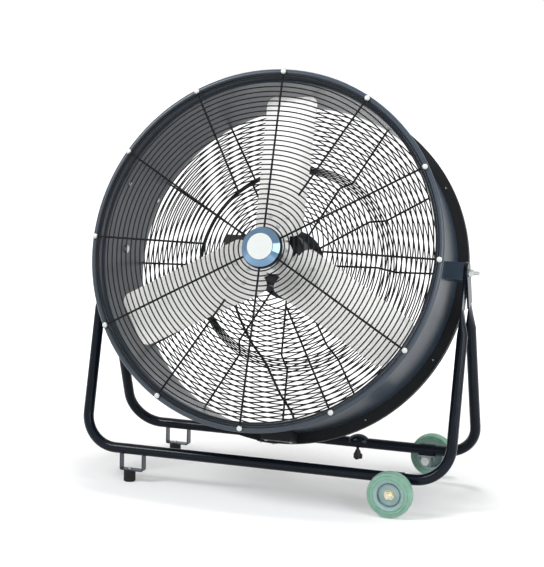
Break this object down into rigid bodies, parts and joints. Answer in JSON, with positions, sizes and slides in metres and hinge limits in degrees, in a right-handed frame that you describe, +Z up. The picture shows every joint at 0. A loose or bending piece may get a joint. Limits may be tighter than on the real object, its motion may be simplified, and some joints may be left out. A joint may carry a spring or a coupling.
{
  "type": "drum fan",
  "caption": "Drum fan: a short wide cylinder with wire guards and a bladed rotor, tilting between bent tube hoops that stand on wheels and rubber feet.",
  "frame": {"origin": "on the floor, at the middle of the object's box in X and Y", "axes": "+X along the floor rails towards the wheels, -Y out of the fan's front guard, +Z up"},
  "size_m": [1.204, 0.6692, 1.2548],
  "materials": {
    "black_tube": "gloss black paint",
    "black_sheet": "satin black paint",
    "black_wire": "black coated wire",
    "motor_grey": "dark paint on cast aluminium",
    "zinc": "zinc plated",
    "steel": "plain steel",
    "brass_nut": "yellow zinc",
    "chrome_rim": "bright",
    "cream_cap": "smooth moulded",
    "blade": "plain sheet",
    "black_rubber": "moulded",
    "green_tyre": "soft grey-green tread",
    "blue_hub": "moulded",
    "black_plastic": "moulded",
    "cable": "sheathed cable",
    "copper": "enamelled wire",
    "cast": "machined casting"
  },
  "bodies": {
    "frame": {"front_hoop": "black_tube", "rear_hoop": "black_tube", "foot_brackets": "black_sheet", "rubber_feet": "black_rubber", "foot_bolts": "zinc", "wheel_straps": "black_sheet", "axle_blocks": "zinc", "axle_bolts": "zinc", "axle_nuts": "brass_nut", "axle_spacers": "zinc", "cord_saddle": "black_plastic", "cord_hook": "black_plastic"},
    "drum": {"drum_shell": "black_sheet", "rear_ring": "black_sheet", "seam_plates": "black_sheet", "drum_screws": "zinc", "front_inner_rings": "black_wire", "front_outer_rings": "black_wire", "front_guard_spokes": "black_wire", "guard_caps": "cream_cap", "rear_inner_rings": "black_wire", "rear_outer_rings": "black_wire", "rear_guard_spokes": "black_wire", "rear_guard_screws": "zinc", "centre_plate": "black_sheet", "cap_rim": "chrome_rim", "cap_disc": "cream_cap", "pivot_bracket_left": "black_sheet", "pivot_bracket_right": "black_sheet", "pivot_bolts": "zinc", "pivot_nuts": "zinc", "motor_plate": "black_sheet", "motor_front_bell": "motor_grey", "motor_body": "motor_grey", "motor_rear_bell": "motor_grey", "motor_bolts": "zinc", "motor_bearings": "steel", "stator_core": "steel", "stator_winding": "copper", "terminal_box": "black_plastic", "terminal_lid": "black_plastic", "run_capacitor": "black_plastic", "cable_gland": "black_plastic", "motor_lead": "cable", "lead_clips": "black_plastic", "connection_box": "black_plastic", "connection_lid": "black_plastic"},
    "rotor": {"motor_shaft": "steel", "rotor_core": "steel", "fan_hub": "cast", "hub_bolts": "zinc", "fan_spider": "steel", "blade_1": "blade", "blade_2": "blade", "blade_3": "blade", "blade_rivets": "zinc"},
    "wheel_front": {"tyre_front": "green_tyre", "wheel_hub_front": "blue_hub"},
    "wheel_rear": {"tyre_rear": "green_tyre", "wheel_hub_rear": "blue_hub"}
  },
  "joints": [
    {"name": "drum_tilt", "type": "hinge", "parent": "frame", "child": "drum", "pos_m": [0, 0.01256, 0.688], "axis": [1, 0, 0], "range_deg": [-72.4, 62.6]},
    {"name": "fan_spin", "type": "hinge", "parent": "drum", "child": "rotor", "pos_m": [0, 0.01256, 0.688], "axis": [0, -0.9532, 0.3024], "continuous": true},
    {"name": "wheel_front_spin", "type": "hinge", "parent": "frame", "child": "wheel_front", "pos_m": [0.414, -0.20044, 0.067], "axis": [0, 1, 0], "continuous": true},
    {"name": "wheel_rear_spin", "type": "hinge", "parent": "frame", "child": "wheel_rear", "pos_m": [0.414, 0.30056, 0.067], "axis": [0, 1, 0], "continuous": true}
  ]
}
